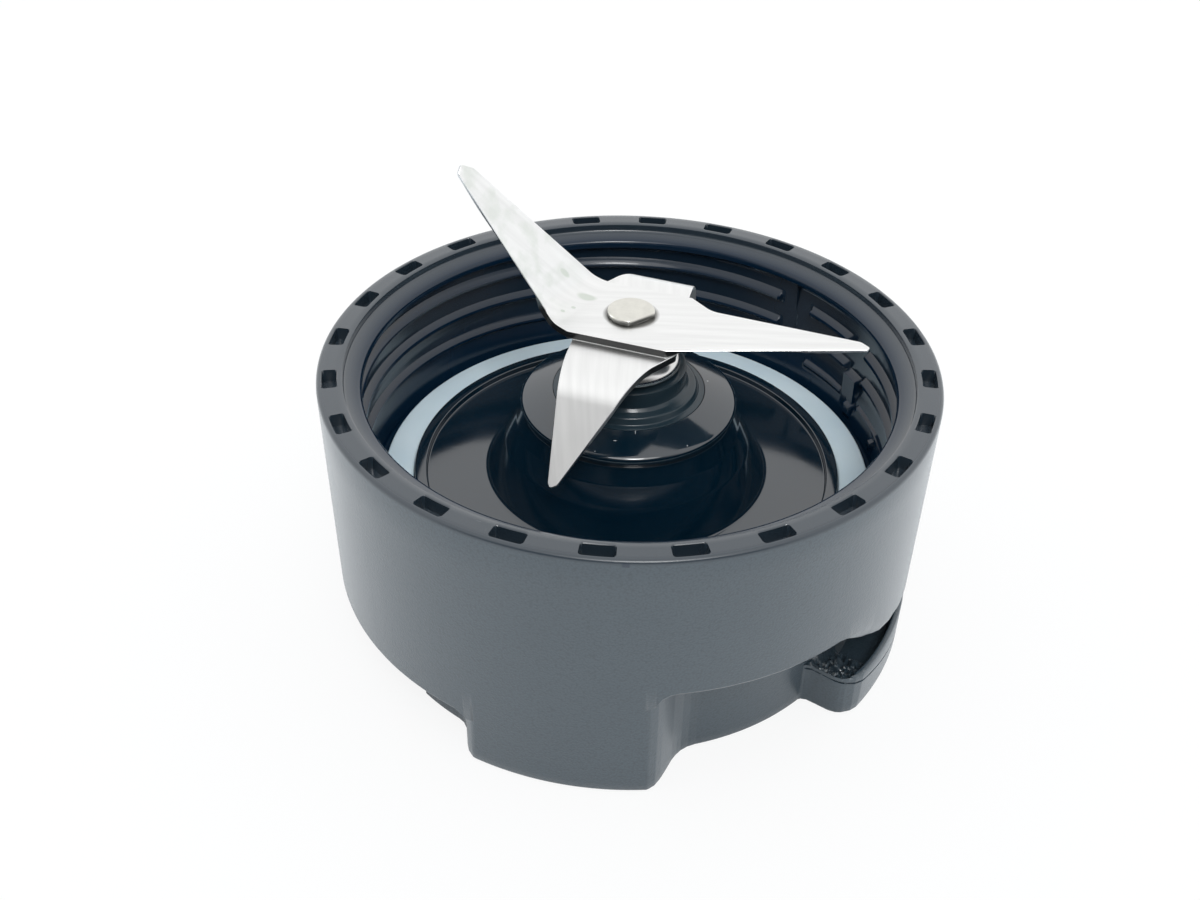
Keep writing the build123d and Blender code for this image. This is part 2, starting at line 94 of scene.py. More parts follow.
# Azimuth against the height and depth of the crack, then the depth and raggedness of the torn top
CRACK_TRACE = [(47.0, 6.8), (48.8, 6.5), (53.0, 5.7), (57.0, 5.1), (70.0, 2.9), (80.0, 1.8)]
CRACK_OPEN = [(45.9, 0.0), (47.0, 0.6), (51.5, 0.6), (54.0, 0.2), (57.0, 0.6), (71.0, 0.5), (76.0, 0.0)]
TORN_DEPTH = [(46.6, 0.0), (48.6, 0.9), (51.0, 1.9), (56.5, 2.4), (60.0, 4.4), (78.0, 4.4), (79.6, 0.0)]
TORN_ROUGH = [(46.8, 0.0), (49.0, 1.3), (56.5, 1.5), (60.0, 0.0)]
FLOOR_RIBS, FLOOR_RIB_T, FLOOR_RIB_DROP = 6, 1.8, 4.0
# First and last azimuth and step of the closer profiles: at the flanks, front and back, and then at
# the torn lug, the nub, the bar and the thread break
FLANK_TURNS = [(-35.0, -25.0, 0.5), (3.5, 18.0, 0.5), (44.0, 62.0, 0.5), (62.0, 88.0, 1.0)]
FINE_TURNS = [(46.0, 61.0, 0.25), (96.5, 101.0, 0.3), (109.0, 119.0, 0.3), (130.0, 143.0, 0.4)]


def along(table, x):
    if x <= table[0][0]:
        return table[0][1]
    for (x0, y0), (x1, y1) in zip(table, table[1:]):
        if x <= x1:
            return y0 + (y1 - y0) * (x - x0) / (x1 - x0)
    return table[-1][1]


def smooth(x):
    x = min(max(x, 0.0), 1.0)
    return x * x * (3 - 2 * x)


def between(x, low, high, soft):
    return smooth((x - low) / soft + 0.5) * smooth((high - x) / soft + 0.5)


def cone_r(h):
    return RIM_R - DRAFT * (RIM_H - h)


def inside_r(angle, h):
    """Radius of the inside wall: the jar thread with its breaks, the upright bar and the nubs."""
    rise = 0.0
    for turns in (-2, -1, 0):
        run = angle + 360.0 * turns
        crest = THREAD_FRONT_H + THREAD_PITCH * run / 360.0
        ends = between(run, THREAD_START, THREAD_END, THREAD_RUNOUT)
        rise = max(rise, ends * THREAD_RISE * smooth((THREAD_HALF - abs(h - crest)) / THREAD_FLANK))
    for low, high in THREAD_BREAKS:
        rise *= 1.0 - between(angle, low, high, BREAK_SOFT)
    low, high, foot, top, stand = THREAD_BAR
    rise = max(rise, stand * between(angle, low, high, BAR_SOFT[0]) * between(h, foot, top, BAR_SOFT[1]))
    wall = min(along(INNER_TRACE, h), ROOT_R - rise)
    for low, high, foot, top, r in NECK_NUBS:
        here = between(angle, low, high, NUB_SOFT[0]) * between(h, foot, top, NUB_SOFT[1])
        wall -= max(wall - r, 0.0) * here
    return wall


def torn_drop(angle, r):
    """How far the torn lug's top lies below a whole one: hollow behind its outer lip, and ragged."""
    hollow = smooth((r - RING_R - 0.2) / 0.5) * smooth((cone_r(LUG_H) - 1.0 - r) / 0.45)
    azimuth = math.radians(angle)
    spot = Vector((r * math.sin(azimuth), r * math.cos(azimuth), 0.0))
    lumps = noise.fractal(spot * 1.3, 0.6, 2.2, 5)
    return hollow * max(along(TORN_DEPTH, angle) + lumps * along(TORN_ROUGH, angle), -0.6)


def rim_points(angle):
    step = 360.0 / POCKET_COUNT
    side = abs((angle - POCKET_TURN + step / 2) % step - step / 2)
    side = math.radians(side) * POCKET_R
    depth = POCKET_DEPTH if side < POCKET_LENGTH / 2 else 0.0
    round_in = min(max(side - POCKET_LENGTH / 2 + POCKET_CORNER, 0.0), POCKET_CORNER)
    inset = POCKET_CORNER - math.sqrt(POCKET_CORNER ** 2 - round_in ** 2)
    low, high = POCKET_R - POCKET_WIDTH / 2 + inset, POCKET_R + POCKET_WIDTH / 2 - inset
    edge = min(0.1, depth)
    return [
        (low - 0.12, RIM_H), (low, RIM_H - edge), (low + 0.1, RIM_H - depth),
        (high - 0.1, RIM_H - depth), (high, RIM_H - edge), (high + 0.12, RIM_H),
    ]


def collar_profile(angle):
    """Radius and height of the points round one upright cut through the collar's wall."""
    half = (angle + 60.0) % 180.0 - 60.0
    torn = 45.0 < angle < 86.0
    cut = along(WALL_TRACE, half)
    lug = max(along(LUG_TRACE, half) if 45.0 < half < 86.0 else cut, cut)
    edge = along(EDGE_TRACE, half)
    clear = smooth((cone_r(edge) - cut) / 1.2)
    roof = edge + (FLOOR_LOW - edge) * clear
    soft = 0.45 * clear

    def wall(h):
        return min(cut, cone_r(h))

    def face(h):
        return min(lug, cone_r(h))

    # floor, neck, thread, rounded lip, ledge and the step up to the rim
    pts = [(FLOOR_HOLE_R, FLOOR_TOP), (24.0, FLOOR_TOP), (33.7, FLOOR_TOP), (NECK_R, FLOOR_TOP)]
    climb = THREAD_PITCH * ((angle - THREAD_SEAM) % 360.0) / 360.0
    heights = [FLOOR_TOP + NECK_ROW * n for n in range(1, NECK_ROWS + 1)]
    first = THREAD_LOW - THREAD_PITCH
    for n in range(math.ceil((THREAD_HIGH - first) / THREAD_ROW)):
        heights.append(min(max(first + THREAD_ROW * n + climb, THREAD_LOW), THREAD_HIGH))
    pts += [(inside_r(angle, h), h) for h in heights]
    pts += [(LIP_R, 41.2), (40.42, 41.75), (40.52, 42.1), (40.75, 42.35), (41.1, 42.5), (41.8, 42.73),
            (42.6, 42.98), (42.86, 43.08), (43.0, 43.2), (43.05, 43.4), (43.05, 44.0), (43.1, 44.2),
            (43.25, RIM_H)]
    pts += rim_points(angle)
    # round outer corner, then the drum down to its lower edge
    top = RIM_H - 0.55
    pts += [(46.4, RIM_H), (46.68, RIM_H - 0.08), (46.87, RIM_H - 0.28), (cone_r(top), top)]
    scoop = along(SCOOP_TRACE, angle)
    for n in range(1, 7):
        h = top + (edge + soft + scoop - top) * n / 6
        pts.append((cone_r(h), h))
    inner, hem = max(SKIRT_IN_R, wall(edge)), cone_r(edge) - 0.2 * scoop
    pts += [(hem, edge + soft), (hem - 0.3 * soft, edge + 0.3 * soft), (hem - 0.8 * soft, edge)]
    pts += [(max(inner, min(cut, hem - 0.8 * soft)), edge)]
    # inside of the skirt, roof of the channel and the ring wall
    pts += [(max(inner, wall(roof)), roof), (wall(roof), roof)]
    for n in range(1, 4):
        h = roof + (LUG_H - roof) * n / 4
        pts.append((wall(h), h))
    # lug: out over its top, down its face past the crack and in again underneath
    ease = 0.4 * smooth((face(LUG_H) - wall(LUG_H)) / 2.0)
    start, reach = wall(LUG_H), face(LUG_H) - ease - wall(LUG_H)
    for n in range(19):
        r = start + reach * n / 18
        pts.append((r, LUG_H - (torn_drop(angle, r) if torn else 0.0)))
    pts.append((face(LUG_H) - 0.3 * ease, LUG_H - 0.3 * ease))
    line = along(CRACK_TRACE, half)
    gape = along(CRACK_OPEN, half) if torn else 0.0
    for h in (LUG_H - 0.35, line + 0.3, line + 0.16):
        pts.append((face(h), h))
    pts += [(face(line) - gape, line + 0.1), (face(line) - gape, line - 0.1), (face(line), line - 0.16)]
    for n in range(1, 5):
        h = (line - 0.16) * (1 - n / 5) + 0.4 * n / 5
        pts.append((face(h), h))
    pts += [(face(0.0), 0.4), (face(0.0) - 0.12, 0.12), (face(0.0) - 0.45, 0.0)]
    pts += [(RING_IN_R + 0.3, 0.0), (RING_IN_R, 0.3), (RING_IN_R, 6.0), (RING_IN_R, 13.0)]
    pts += [(RING_IN_R, FLOOR_LOW), (26.0, FLOOR_LOW), (FLOOR_HOLE_R, FLOOR_LOW)]
    return pts


def collar_angles():
    """Turns of the collar's profiles: closer at the pockets, flanks, thread breaks and torn lug."""
    step = 360.0 / POCKET_COUNT
    end = math.degrees(POCKET_LENGTH / 2 / POCKET_R)
    near = [end + 0.02, end - 0.02, end - 0.3, end - 0.65, 0.0]
    near = near + [-a for a in near] + [end + 0.5 + 1.45 * n for n in range(6)]
    angles = {round((POCKET_TURN + step * n + a) % 360.0, 3) for n in range(POCKET_COUNT) for a in near}
    for turn in (0.0, 180.0):
        for table in (WALL_TRACE, LUG_TRACE, EDGE_TRACE):
            angles |= {round((a + turn) % 360.0, 3) for a, value in table}
        for low, high, gap in FLANK_TURNS:
            angles |= {round((low + gap * n + turn) % 360.0, 3) for n in range(int((high - low) / gap) + 1)}
    for low, high, gap in FINE_TURNS:
        angles |= {round(low + gap * n, 3) for n in range(int((high - low) / gap) + 1)}
    kept = [-1.0]
    for a in sorted(angles):
        if a - kept[-1] > 0.03:
            kept.append(a)
    return kept[1:]


def ring_mesh(name, columns, angles):
    """A closed band of profiles, one for each angle from the front, round the spindle."""
    verts = []
    for a, profile in zip(angles, columns):
        s, c = math.sin(math.radians(a)), math.cos(math.radians(a))
        verts += [(r * s * MM, -r * c * MM, h * MM) for r, h in profile]
    count, rows = len(angles), len(columns[0])
    faces = []
    for i in range(count):
        j = (i + 1) % count
        for k in range(rows):
            m = (k + 1) % rows
            faces.append((i * rows + k, j * rows + k, j * rows + m, i * rows + m))
    mesh = bpy.data.meshes.new(name)
    mesh.from_pydata(verts, [], faces)
    return mesh


def placed(mesh, sharp=38.0):
    """Cleans a mesh, shades it smooth up to the given crease angle and puts it in the scene."""
    bm = bmesh.new()
    bm.from_mesh(mesh)
    bmesh.ops.remove_doubles(bm, verts=bm.verts, dist=0.004 * MM)
    bmesh.ops.dissolve_degenerate(bm, edges=bm.edges, dist=0.002 * MM)
    bmesh.ops.recalc_face_normals(bm, faces=bm.faces)
    bm.to_mesh(mesh)
    bm.free()
    for poly in mesh.polygons:
        poly.use_smooth = True
    mesh.set_sharp_from_angle(angle=math.radians(sharp))
    obj = bpy.data.objects.new(mesh.name, mesh)
    bpy.context.scene.collection.objects.link(obj)
    return obj


def shader(name):
    mat = bpy.data.materials.new(name)
    mat.use_nodes = True
    return mat, mat.node_tree, mat.node_tree.nodes["Principled BSDF"]


def node(tree, kind, inputs=None, **settings):
    made = tree.nodes.new(kind)
    for key, value in settings.items():
        setattr(made, key, value)
    for key, value in (inputs or {}).items():
        if isinstance(value, bpy.types.NodeSocket):
            tree.links.new(value, made.inputs[key])
        else:
            made.inputs[key].default_value = value
    return made


def ramp(tree, fac, stops):
    made = node(tree, "ShaderNodeValToRGB", {"Fac": fac})
    elements = made.color_ramp.elements
    while len(elements) < len(stops):
        elements.new(0.5)
    for element, (pos, value) in zip(elements, stops):
        element.position = pos
        element.color = (*value, 1.0) if isinstance(value, tuple) else (value, value, value, 1.0)
    return made.outputs["Color"]


def maths(tree, operation, a, b):
    return node(tree, "ShaderNodeMath", {0: a, 1: b}, operation=operation).outputs[0]


def mixed(tree, fac, a, b):
    made = node(tree, "ShaderNodeMix", {"Factor": fac}, data_type="RGBA")
    for socket, value in zip((made.inputs[6], made.inputs[7]), (a, b)):
        if isinstance(value, bpy.types.NodeSocket):
            tree.links.new(value, socket)
        else:
            socket.default_value = (*value, 1.0)
    return made.outputs[2]


def object_place(tree):
    return node(tree, "ShaderNodeTexCoord").outputs["Object"]


def clouds(tree, place, scale, detail=4.0):
    inputs = {"Vector": place, "Scale": scale, "Detail": detail}
    return node(tree, "ShaderNodeTexNoise", inputs).outputs["Fac"]


def vector_maths(tree, operation, a, b):
    return node(tree, "ShaderNodeVectorMath", {0: a, 1: b}, operation=operation).outputs[0]


def vector_length(tree, place):
    return node(tree, "ShaderNodeVectorMath", {0: place}, operation="LENGTH").outputs["Value"]


def along_axis(tree, place, axis):
    return node(tree, "ShaderNodeSeparateXYZ", {0: place}).outputs[axis]


def specks(tree, place, scale, size, part):
    """A mask of small sparse dots, such as dust."""
    cells = node(tree, "ShaderNodeTexVoronoi", {"Vector": place, "Scale": scale})
    dots = maths(tree, "LESS_THAN", cells.outputs["Distance"], size)
    some = maths(tree, "LESS_THAN", cells.outputs["Color"], part)
    return maths(tree, "MULTIPLY", dots, some)


def bumped(tree, bsdf, height, strength, distance):
    bump = node(tree, "ShaderNodeBump", {"Height": height, "Strength": strength, "Distance": distance})
    tree.links.new(bump.outputs["Normal"], bsdf.inputs["Normal"])


COLLAR_BLACK, DUST = (0.002, 0.014, 0.034), (0.35, 0.37, 0.38)
COLLAR_GREY, COLLAR_PALE = (0.032, 0.053, 0.071), (0.038, 0.061, 0.080)
RIM_PAINTED_SHEEN, GRAIN_DARK, CRUMB_AND_HIGHLIGHT = (0.020, 0.033, 0.047), (0.026, 0.043, 0.058), (0.26, 0.29, 0.31)
TORN_SPOT, NICK = (33.2, -27.0, 4.2, 4.0), (0.4, -46.9, 0.6, 0.6)


def share(tree, value, low, high):
    """Nought at the first value and one at the second."""
    return node(tree, "ShaderNodeMapRange", {"Value": value, "From Min": low, "From Max": high}).outputs[0]


def ovals(tree, place, spots):
    """A mask of oval spots, each given by its middle and half sizes in the plan."""
    mask = None
    for x, y, wide, deep in spots:
        off = vector_maths(tree, "SUBTRACT", place, (x * MM, y * MM, 0.0))
        sized = vector_maths(tree, "MULTIPLY", off, (1.0 / wide / MM, 1.0 / deep / MM, 0.0))
        spot = share(tree, vector_length(tree, sized), 1.0, 0.6)
        mask = spot if mask is None else maths(tree, "MAXIMUM", mask, spot)
    return mask


def collar_plastic():
    mat, tree, bsdf = shader("collar_plastic")
    place = object_place(tree)
    radius = vector_length(tree, vector_maths(tree, "MULTIPLY", place, (1.0, 1.0, 0.0)))
    height = along_axis(tree, place, "Z")
    under_floor = share(tree, height, (FLOOR_LOW + 1.6) * MM, FLOOR_LOW * MM)
    below = maths(tree, "MULTIPLY", under_floor, share(tree, radius, 36.6 * MM, 37.4 * MM))
    under_rim = share(tree, height, (RIM_H - 0.4) * MM, (RIM_H - 0.8) * MM)
    outside = share(tree, radius, 46.1 * MM, 46.3 * MM)
    outer = maths(tree, "MAXIMUM", below, maths(tree, "MULTIPLY", outside, under_rim))
    rim = share(tree, radius, 40.5 * MM, 43.0 * MM)
    cloud = clouds(tree, place, 70.0, 6.0)
    # The rim top and the ledge inside it are painted a lighter grey than the black inside wall: painted
    # sheen.
    inside = mixed(tree, rim, COLLAR_BLACK, RIM_PAINTED_SHEEN)
    grain = node(tree, "ShaderNodeTexVoronoi", {"Vector": place, "Scale": 3200.0}, feature="SMOOTH_F1")
    fine = maths(tree, "ADD", grain.outputs["Distance"], clouds(tree, place, 4200.0))
    grey = ramp(tree, cloud, [(0.3, COLLAR_GREY), (0.75, COLLAR_PALE)])
    grey = mixed(tree, share(tree, fine, 0.8, 1.3), grey, GRAIN_DARK)
    dust = specks(tree, place, 330.0, 0.07, 0.035)
    dusty = mixed(tree, dust, mixed(tree, outer, inside, grey), DUST)
    facing = along_axis(tree, node(tree, "ShaderNodeTexCoord").outputs["Normal"], "Z")
    # On the torn lug's top, only faces that look up get pale crumbs: torn plastic crumbs with a painted
    # highlight.
    lug_top = share(tree, height, (LUG_H + 0.9) * MM, (LUG_H + 0.3) * MM)
    upward_lit = maths(tree, "MULTIPLY", lug_top, share(tree, facing, 0.1, 0.4))
    torn = maths(tree, "MULTIPLY", ovals(tree, place, [TORN_SPOT]), upward_lit)
    crumbs_and_highlight = maths(tree, "MULTIPLY", torn, share(tree, clouds(tree, place, 1100.0, 3.0), 0.56, 0.66))
    crumbled_and_lit = mixed(tree, crumbs_and_highlight, dusty, CRUMB_AND_HIGHLIGHT)
    high = share(tree, height, (RIM_H - 1.1) * MM, (RIM_H - 0.9) * MM)
    upright = maths(tree, "MULTIPLY", high, share(tree, facing, 0.5, 0.3))
    nick = maths(tree, "MULTIPLY", ovals(tree, place, [NICK]), upright)
    tree.links.new(mixed(tree, nick, crumbled_and_lit, COLLAR_BLACK), bsdf.inputs["Base Color"])
    gloss = ramp(tree, maths(tree, "MAXIMUM", outer, outside), [(0.0, 0.12), (1.0, 0.32)])
    dull = maths(tree, "ADD", gloss, maths(tree, "MULTIPLY", cloud, 0.06))
    tree.links.new(dull, bsdf.inputs["Roughness"])
    bumped(tree, bsdf, maths(tree, "MULTIPLY", fine, outer), 0.5, 0.06 * MM)
    tree.links.new(maths(tree, "MAXIMUM", rim, below), bsdf.inputs["Coat Weight"])
    bsdf.inputs["Coat Roughness"].default_value = 0.26
    return mat


collar_turns = collar_angles()
collar_mesh = ring_mesh("threaded_collar_shell", [collar_profile(a) for a in collar_turns], collar_turns)
ribs = bmesh.new()
ribs.from_mesh(collar_mesh)
for n in range(FLOOR_RIBS):
    turn = Matrix.Rotation(math.radians(360.0 / FLOOR_RIBS * (n + 0.5)), 4, "Z")
    mid = Matrix.Translation(((FLOOR_HOLE_R + RING_R) / 2 * MM, 0.0, (FLOOR_LOW - FLOOR_RIB_DROP / 2) * MM))
    size = Matrix.Diagonal(((RING_IN_R - FLOOR_HOLE_R) * MM, FLOOR_RIB_T * MM, FLOOR_RIB_DROP * MM, 1.0))
    bmesh.ops.create_cube(ribs, size=1.0, matrix=turn @ mid @ size)
ribs.to_mesh(collar_mesh)
ribs.free()
collar = placed(collar_mesh)
collar_mesh.materials.append(collar_plastic())
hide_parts("threaded_collar")
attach(collar, "base")

# The gasket is a flat ring of pale translucent silicone, cut square with worn edges. It lies on the
# collar floor round the hub plate, and the jar's rim presses on it.
gasket_low, gasket_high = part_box("jar_gasket")
GASKET_IN_R, GASKET_OUT_R = 33.75, gasket_high.x / MM
GASKET_LOW, GASKET_TOP = gasket_low.z / MM, gasket_high.z / MM
SILICONE, SILICONE_PALE, SILICONE_SPECK = (0.60, 0.74, 0.82), (0.65, 0.78, 0.85), (0.3, 0.33, 0.35)


def rounded(corners, steps=6):
    """Points round a closed outline whose corners are given as x, y and radius."""
    pts = []
    for i, (x, y, radius) in enumerate(corners):
        here = Vector((x, y))
        back = Vector(corners[i - 1][:2]) - here
        ahead = Vector(corners[(i + 1) % len(corners)][:2]) - here
        if radius == 0.0:
            pts.append((x, y))
            continue
        reach = radius / math.tan(back.angle(ahead) / 2)
        first = here + back.normalized() * min(reach, 0.48 * back.length)
        last = here + ahead.normalized() * min(reach, 0.48 * ahead.length)
        for n in range(steps + 1):
            t = n / steps
            spot = first * (1 - t) ** 2 + here * (2 * t * (1 - t)) + last * t * t
            pts.append((spot.x, spot.y))
    return pts


def turned(name, profile, count=160):
    return ring_mesh(name, [profile] * count, [360.0 * n / count for n in range(count)])


def silicone():
    mat, tree, bsdf = shader("silicone")
    place = object_place(tree)
    cloud = clouds(tree, place, 120.0)
    pale = ramp(tree, cloud, [(0.3, SILICONE), (0.7, SILICONE_PALE)])
    dust = specks(tree, place, 420.0, 0.08, 0.03)
    tree.links.new(mixed(tree, dust, pale, SILICONE_SPECK), bsdf.inputs["Base Color"])
    tree.links.new(ramp(tree, cloud, [(0.3, 0.42), (0.7, 0.55)]), bsdf.inputs["Roughness"])
    bsdf.inputs["Subsurface Weight"].default_value = 0.25
    bsdf.inputs["Subsurface Radius"].default_value = (0.8, 0.9, 1.0)
    bsdf.inputs["Subsurface Scale"].default_value = 1.0 * MM
    bumped(tree, bsdf, clouds(tree, place, 900.0), 0.15, 0.05 * MM)
    return mat


gasket_corners = [
    (GASKET_IN_R, GASKET_LOW, 0.2), (GASKET_OUT_R, GASKET_LOW, 0.2),
    (GASKET_OUT_R, GASKET_TOP, 0.35), (GASKET_IN_R, GASKET_TOP, 0.35),
]
gasket = placed(turned("jar_gasket_ring", rounded(gasket_corners)), 60.0)
gasket.data.materials.append(silicone())
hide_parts("jar_gasket")
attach(gasket, "base")

# The hub plate is a glossy black moulding, held down by three screws from below. Its dished floor
# rises through a flared boss to a crown, and the tube inside carries the bearings.
plate_low, plate_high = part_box("hub_plate")
PLATE_R, PLATE_SEAT, PLATE_END, CROWN_TOP = 33.6, FLOOR_TOP, plate_low.z / MM, plate_high.z / MM
PLATE_TOP, PLATE_LIP = 24.3, 25.2
FOOT_R, FLARE, SAG, WAIST, CROWN_R = 22.0, (19.2, 30.0), (17.35, 32.9), (16.05, 35.6), 16.65
SEAL_SEAT_R, SHOULDER_R, BORE_R, TUBE_R = 11.65, 9.5, 11.03, 13.43
SHOULDER_TOP, SHOULDER_LOW, BOSS_WALL = 36.8, 36.0, 2.0
POST_COUNT, POST_RING_R, POST_R, POST_TOP = 3, 16.6, 2.4, 29.0
HUB_BLACK, HUB_PALE, SCUFF = (0.0008, 0.0105, 0.0215), (0.0014, 0.0125, 0.0250), (0.50, 0.53, 0.55)
HUB_MARKS = [
    (-1.73, -13.48, 0.30, 0.10), (1.2, -11.9, 0.07, 0.45),
    (-4.6, -15.2, 0.12, 0.10), (8.9, -13.1, 0.10, 0.14),
]


def hub_plastic():
    mat, tree, bsdf = shader("hub_plastic")
    place = object_place(tree)
    cloud = clouds(tree, place, 90.0)
    dust = specks(tree, place, 420.0, 0.075, 0.08)
    black = ramp(tree, cloud, [(0.3, HUB_BLACK), (0.75, HUB_PALE)])
    dusty = mixed(tree, dust, black, DUST)
    tree.links.new(mixed(tree, ovals(tree, place, HUB_MARKS), dusty, SCUFF), bsdf.inputs["Base Color"])
    tree.links.new(ramp(tree, cloud, [(0.3, 0.07), (0.8, 0.14)]), bsdf.inputs["Roughness"])
    bumped(tree, bsdf, clouds(tree, place, 160.0), 0.06, 0.15 * MM)
    bsdf.inputs["Specular IOR Level"].default_value = 1.0
    bsdf.inputs["IOR"].default_value = 1.6
    return mat


hub_corners = [
    (PLATE_R, PLATE_SEAT, 0.1), (PLATE_R, PLATE_LIP, 0.4), (31.75, PLATE_LIP, 0.2), (31.6, PLATE_TOP, 0.2),
    (FOOT_R, PLATE_TOP, 0.9), (*FLARE, 6.0), (*SAG, 5.0), (*WAIST, 0.8),
    (CROWN_R, 36.3, 0.3), (CROWN_R, 37.4, 1.0), (SEAL_SEAT_R, CROWN_TOP, 0.15),
    (SEAL_SEAT_R, SHOULDER_TOP, 0.0), (SHOULDER_R, SHOULDER_TOP, 0.0), (SHOULDER_R, SHOULDER_LOW, 0.0),
    (BORE_R, SHOULDER_LOW, 0.0), (BORE_R, PLATE_END, 0.2), (TUBE_R, PLATE_END, 0.3),
    (TUBE_R, WAIST[1] - BOSS_WALL, 0.4), (WAIST[0] - 1.0, WAIST[1] - BOSS_WALL, 0.4),
    (FLARE[0] - BOSS_WALL, FLARE[1] - 1.0, 1.0), (FOOT_R - BOSS_WALL, PLATE_SEAT, 0.3),
]
hub_mesh = turned("hub_plate_shell", rounded(hub_corners), 180)
posts = bmesh.new()
posts.from_mesh(hub_mesh)
for n in range(POST_COUNT):
    turn = math.radians(360.0 / POST_COUNT * n)
    middle = (PLATE_SEAT + POST_TOP) / 2
    spot = Vector((POST_RING_R * math.cos(turn), POST_RING_R * math.sin(turn), middle)) * MM
    bmesh.ops.create_cone(
        posts, cap_ends=True, segments=32, radius1=POST_R * MM, radius2=POST_R * MM,
        depth=(POST_TOP - PLATE_SEAT) * MM, matrix=Matrix.Translation(spot))
posts.to_mesh(hub_mesh)
posts.free()
hub = placed(hub_mesh, 50.0)
hub_mesh.materials.append(hub_plastic())
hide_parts("hub_plate")
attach(hub, "base")

# The shaft seal is a lip of black rubber in two soft steps, pressed into the top of the boss.
# Its neck closes on the sleeve under the cap.
SEAL_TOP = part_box("shaft_seal")[1].z / MM
SEAL_IN_R, SEAL_NECK_R, SEAL_STEP_R, SEAL_OUT_R = 5.28, 8.7, 10.3, SEAL_SEAT_R - 0.02
RUBBER, RUBBER_PALE = (0.018, 0.036, 0.050), (0.026, 0.046, 0.060)


def seal_rubber():
    mat, tree, bsdf = shader("seal_rubber")
    place = object_place(tree)
    cloud = clouds(tree, place, 200.0)
    dust = specks(tree, place, 600.0, 0.07, 0.04)
    black = ramp(tree, cloud, [(0.3, RUBBER), (0.8, RUBBER_PALE)])
    tree.links.new(mixed(tree, dust, black, DUST), bsdf.inputs["Base Color"])
    tree.links.new(ramp(tree, cloud, [(0.3, 0.18), (0.8, 0.28)]), bsdf.inputs["Roughness"])
    bumped(tree, bsdf, clouds(tree, place, 1200.0), 0.1, 0.04 * MM)
    return mat


seal_corners = [
    (SEAL_IN_R, SHOULDER_TOP, 0.0), (SEAL_OUT_R, SHOULDER_TOP, 0.0), (SEAL_OUT_R, CROWN_TOP, 0.1),
    (10.75, 39.15, 0.35), (SEAL_STEP_R, 40.25, 0.5), (9.2, 40.35, 0.4), (SEAL_NECK_R, 40.9, 0.3),
    (SEAL_NECK_R, SEAL_TOP, 0.12), (SEAL_IN_R, SEAL_TOP, 0.2),
]
seal = placed(turned("shaft_seal_lip", rounded(seal_corners), 128), 50.0)
seal.data.materials.append(seal_rubber())
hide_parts("shaft_seal")
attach(seal, "base")

# The dome cap is a bell spun from thin stainless sheet and polished. It turns with the shaft over
# the seal, and keeps food out of it.
cap_low, cap_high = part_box("dome_cap")
CAP_R, CAP_NECK_R, CAP_T = 7.7, 4.9, 1.0
CAP_IN_R, CAP_NECK_IN_R = CAP_R - CAP_T, CAP_NECK_R - CAP_T
CAP_LOW, CAP_TOP = cap_low.z / MM, cap_high.z / MM
SPIGOT_R = 3.0
CAP_STEEL = (0.80, 0.80, 0.79)
CUT_PAINTED_SHADE, CUT_PAINTED_REFLECTION, CUT_NEAR, CUT_FAR = (0.13, 0.13, 0.13), (0.62, 0.65, 0.68), 13.0, 19.0


def steel(name, colour, rough, flat_uv=False, streak=(1.0, 1.0, 1.0)):
    """Stainless steel with fine streaks, along the sheet where it has flat coordinates and cut edges, whose
    colour is painted shade near the hub and a painted reflection farther out.
    """
    mat, tree, bsdf = shader(name)
    if flat_uv:
        place = node(tree, "ShaderNodeUVMap", uv_map="flat").outputs["UV"]
    else:
        place = object_place(tree)
    lines = clouds(tree, vector_maths(tree, "MULTIPLY", place, streak), 900.0, 3.0)
    cloud = clouds(tree, place, 130.0)
    dark = tuple(c * 0.9 for c in colour)
    brushed = ramp(tree, lines, [(0.25, dark), (0.65, colour)])
    if flat_uv:
        # The cut edges are painted: dark near the hub as painted shade where the blades lie on each other,
        # pale bluish farther out as a painted reflection.
        cut = node(tree, "ShaderNodeAttribute", attribute_name="cut").outputs["Fac"]
        shade_to_reflection = share(tree, vector_length(tree, place), CUT_NEAR * MM, CUT_FAR * MM)
        brushed = mixed(tree, cut, brushed, mixed(tree, shade_to_reflection, CUT_PAINTED_SHADE, CUT_PAINTED_REFLECTION))
    tree.links.new(brushed, bsdf.inputs["Base Color"])
    spread = maths(tree, "MULTIPLY_ADD", cloud, 0.12)
    spread.node.inputs[2].default_value = rough - 0.06
    tree.links.new(spread, bsdf.inputs["Roughness"])
    bumped(tree, bsdf, lines, 0.12, 0.02 * MM)
    bsdf.inputs["Metallic"].default_value = 1.0
    return mat, tree, bsdf, place


cap_corners = [
    (SPIGOT_R, CAP_TOP, 0.0), (SPIGOT_R, CAP_TOP - CAP_T, 0.0), (CAP_NECK_IN_R, CAP_TOP - CAP_T, 0.3),
    (CAP_NECK_IN_R, CAP_LOW + 2.9, 0.3), (5.2, CAP_LOW + 2.5, 0.5), (CAP_IN_R, CAP_LOW + 1.0, 0.6),
    (CAP_IN_R, CAP_LOW, 0.1), (CAP_R, CAP_LOW, 0.2), (CAP_R, CAP_LOW + 1.1, 1.7),
    (6.0, CAP_LOW + 2.75, 1.4), (CAP_NECK_R, CAP_LOW + 3.3, 0.5), (CAP_NECK_R, CAP_TOP, 0.0),
]
cap = placed(turned("dome_cap_bell", rounded(cap_corners, 10), 128), 50.0)
cap.data.materials.append(steel("cap_steel", CAP_STEEL, 0.2)[0])
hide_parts("dome_cap")
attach(cap, "rotor")

